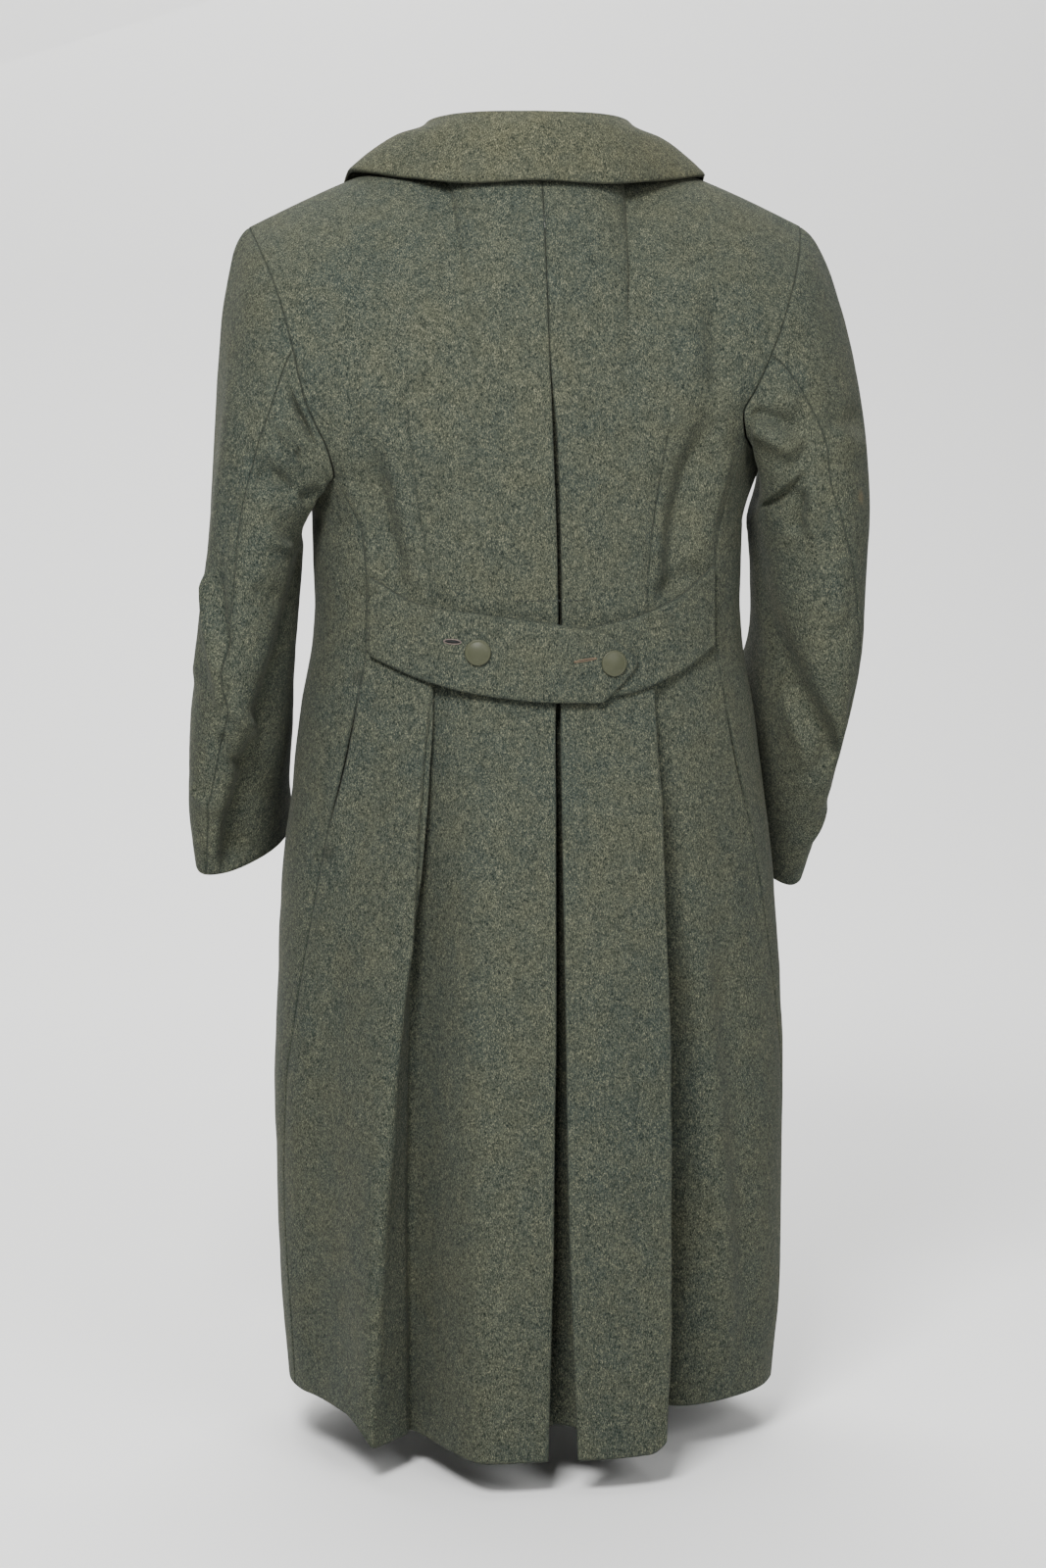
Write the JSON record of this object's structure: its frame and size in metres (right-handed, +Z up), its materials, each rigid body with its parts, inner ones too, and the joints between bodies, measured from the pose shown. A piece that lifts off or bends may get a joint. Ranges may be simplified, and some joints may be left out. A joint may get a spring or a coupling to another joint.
{
  "type": "overcoat",
  "caption": "Long double-breasted wool overcoat, filled out as worn, with a turned-down collar, a buttoned half belt and an open centre back pleat",
  "frame": {"origin": "the middle of the neck opening, level with the back neck seam, where the coat hangs from its wearer", "axes": "+Z up, +Y to the back of the coat, +X to the wearer's left"},
  "size_m": [0.6018, 0.39, 1.1341],
  "materials": {
    "wool": "napped field-grey wool cloth with pale fibres",
    "painted_button": "dull grey-green paint, worn a little on the rim"
  },
  "bodies": {
    "root": {"back_left": "wool", "back_right": "wool", "back_pleat_underlay": "wool", "front_left": "wool", "front_right": "wool", "top_sleeve_left": "wool", "under_sleeve_left": "wool", "top_sleeve_right": "wool", "under_sleeve_right": "wool", "collar": "wool", "half_belt_left": "wool", "half_belt_right": "wool", "belt_button_left": "painted_button", "belt_button_right": "painted_button", "front_button_left_1": "painted_button", "front_button_right_1": "painted_button", "front_button_left_2": "painted_button", "front_button_right_2": "painted_button", "front_button_left_3": "painted_button", "front_button_right_3": "painted_button", "front_button_left_4": "painted_button", "front_button_right_4": "painted_button", "front_button_left_5": "painted_button", "front_button_right_5": "painted_button", "front_button_left_6": "painted_button", "front_button_right_6": "painted_button"}
  },
  "joints": []
}
